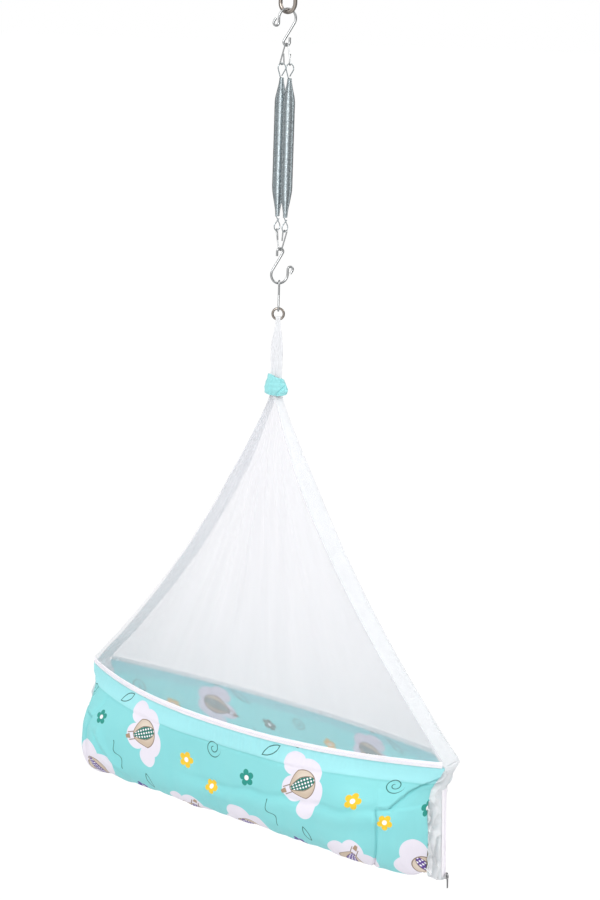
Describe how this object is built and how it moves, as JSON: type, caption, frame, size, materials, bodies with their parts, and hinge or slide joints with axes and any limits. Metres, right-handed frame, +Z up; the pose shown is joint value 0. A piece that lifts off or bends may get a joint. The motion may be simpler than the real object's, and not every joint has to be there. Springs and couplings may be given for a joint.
{
  "type": "hanging baby cradle",
  "caption": "Hanging baby cradle: zipped cloth trough with mattress under a mesh tent, hung by a strap, ring, S-hooks and twin coil springs from a ceiling link.",
  "frame": {"origin": "inside top of the ceiling link, where the ceiling's own hook bears and holds the cradle up", "axes": "+Z up; +X along the cradle towards its right end; -Y is the zipped front; the part is 1.67 m tall and hangs below the origin"},
  "size_m": [0.9046, 0.294, 1.6666],
  "materials": {
    "link_steel": "polished",
    "hook_steel": "polished",
    "spring_zinc": "satin",
    "white_cloth": "matte",
    "collar_cloth": "matte",
    "net": "matte",
    "print_cloth": "matte",
    "zip_tape": "matte",
    "zip_teeth": "satin",
    "board": "matte",
    "mattress": "matte",
    "slider_metal": "satin"
  },
  "bodies": {
    "ceiling": {"ceiling_link": "link_steel"},
    "upper_hook": {"upper_s_hook": "hook_steel"},
    "spring_pair": {"upper_yoke": "hook_steel", "spring_left": "spring_zinc", "spring_right": "spring_zinc"},
    "spring_foot": {"lower_yoke": "hook_steel"},
    "lower_hook": {"lower_s_hook": "hook_steel"},
    "s_link": {"small_s_link": "hook_steel"},
    "ring": {"strap_ring": "link_steel"},
    "cradle_body": {"strap_loop": "white_cloth", "neck_collar": "collar_cloth", "band_left": "white_cloth", "band_right": "white_cloth", "net_front": "net", "net_rear": "net", "front_wall": "print_cloth", "rear_wall": "print_cloth", "front_zip_tape": "zip_tape", "front_zip_teeth": "zip_teeth", "rear_binding": "white_cloth", "end_cloth_left": "white_cloth", "end_cloth_right": "white_cloth", "end_zip_tape_left": "zip_tape", "end_zip_tape_right": "zip_tape", "end_zip_teeth_left": "zip_teeth", "end_zip_teeth_right": "zip_teeth", "base_cover": "print_cloth", "base_board": "board", "foam_mattress": "mattress"},
    "slider_left": {"zip_slider_left": "slider_metal"},
    "slider_right": {"zip_slider_right": "slider_metal"},
    "pull_left": {"pull_tab_left": "slider_metal"},
    "pull_right": {"pull_tab_right": "slider_metal"}
  },
  "joints": [
    {"name": "hook_swing", "type": "hinge", "parent": "ceiling", "child": "upper_hook", "pos_m": [0, 0, -0.05375], "axis": [1, 0, 0], "range_deg": [-18, 18]},
    {"name": "yoke_swing", "type": "hinge", "parent": "upper_hook", "child": "spring_pair", "pos_m": [0, 0, -0.1142], "axis": [0.4695, 0.8829, 0], "range_deg": [-15, 15]},
    {"name": "bounce", "type": "slide", "parent": "spring_pair", "child": "spring_foot", "axis": [0, 0, -1], "range_m": [0, 0.2], "stiffness_N_per_m": 500, "springref_m": -0.08, "deforming": ["spring_left", "spring_right"]},
    {"name": "lower_hook_swing", "type": "hinge", "parent": "spring_foot", "child": "lower_hook", "pos_m": [0, 0, -0.495], "axis": [0.9511, -0.309, 0], "range_deg": [-15, 15]},
    {"name": "s_link_swing", "type": "hinge", "parent": "lower_hook", "child": "s_link", "pos_m": [0, 0, -0.5579], "axis": [0.4695, 0.8829, 0], "range_deg": [-15, 15]},
    {"name": "ring_turn", "type": "hinge", "parent": "s_link", "child": "ring", "pos_m": [0, 0, -0.6105], "axis": [0, 0, 1], "range_deg": [-20, 20]},
    {"name": "cradle_swing", "type": "hinge", "parent": "ring", "child": "cradle_body", "pos_m": [0, 0, -0.6274], "axis": [0.788, 0.6157, 0], "range_deg": [-12, 12]},
    {"name": "zip_left_slide", "type": "slide", "parent": "cradle_body", "child": "slider_left", "axis": [0.0503, 0, 0.9987], "range_m": [0, 0.16]},
    {"name": "zip_right_slide", "type": "slide", "parent": "cradle_body", "child": "slider_right", "axis": [-0.0503, 0, 0.9987], "range_m": [0, 0.16]},
    {"name": "pull_left_tilt", "type": "hinge", "parent": "slider_left", "child": "pull_left", "pos_m": [-0.44759, 0, -1.63724], "axis": [0, 1, 0], "range_deg": [0, 90]},
    {"name": "pull_right_tilt", "type": "hinge", "parent": "slider_right", "child": "pull_right", "pos_m": [0.44759, 0, -1.63724], "axis": [0, -1, 0], "range_deg": [0, 90]}
  ]
}
